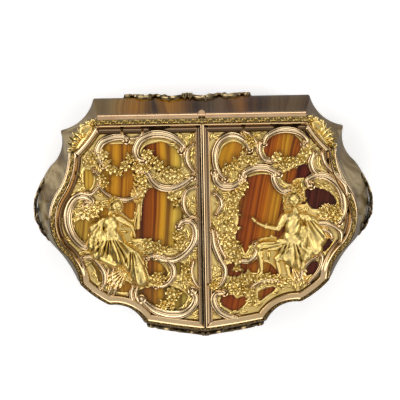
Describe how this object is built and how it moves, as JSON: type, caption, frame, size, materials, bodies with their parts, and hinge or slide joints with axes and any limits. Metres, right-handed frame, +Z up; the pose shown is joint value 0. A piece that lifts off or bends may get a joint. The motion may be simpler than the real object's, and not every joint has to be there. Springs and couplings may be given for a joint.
{
  "type": "snuffbox",
  "caption": "Bombe snuffbox of banded agate in gold mounts, with two hinged openwork scroll lids over agate panels and two gold-lined wells.",
  "frame": {"origin": "centre of the bounding box in plan, at the bottom of the foot ring", "axes": "+X along the hinges to the right as the scenes are seen upright, +Y to the hinged back edge, +Z up through the lids"},
  "size_m": [0.0798, 0.0574, 0.0334],
  "materials": {
    "body_agate": "polished translucent grey-brown agate",
    "panel_agate": "polished banded amber and red agate",
    "gold": "polished gold, slightly pink",
    "chased_gold": "chased matte yellow gold with burnished edges"
  },
  "bodies": {
    "box": {"agate_body": "body_agate", "base_rim": "gold", "rim_mount": "gold", "hinge_boss": "gold", "back_mount": "chased_gold", "front_mount": "chased_gold", "left_side_mount": "chased_gold", "right_side_mount": "chased_gold", "left_liner": "gold", "right_liner": "gold", "left_body_knuckles": "gold", "right_body_knuckles": "gold", "left_hinge_pin": "gold", "right_hinge_pin": "gold"},
    "left_lid": {"left_lid_border": "chased_gold", "left_lid_frame": "gold", "left_lid_panel": "panel_agate", "left_panel_retainer": "gold", "left_corner_mount": "chased_gold", "left_scrollwork": "chased_gold", "left_figure": "chased_gold", "left_lid_knuckles": "gold"},
    "right_lid": {"right_lid_border": "chased_gold", "right_lid_frame": "gold", "right_lid_panel": "panel_agate", "right_panel_retainer": "gold", "right_corner_mount": "chased_gold", "right_scrollwork": "chased_gold", "right_figure": "chased_gold", "right_lid_knuckles": "gold"}
  },
  "joints": [
    {"name": "left_lid_hinge", "type": "hinge", "parent": "box", "child": "left_lid", "pos_m": [-0.0124, 0.02515, 0.03022], "axis": [-1, 0, 0], "range_deg": [0, 95]},
    {"name": "right_lid_hinge", "type": "hinge", "parent": "box", "child": "right_lid", "pos_m": [0.0124, 0.02515, 0.03022], "axis": [-1, 0, 0], "range_deg": [0, 95]}
  ]
}
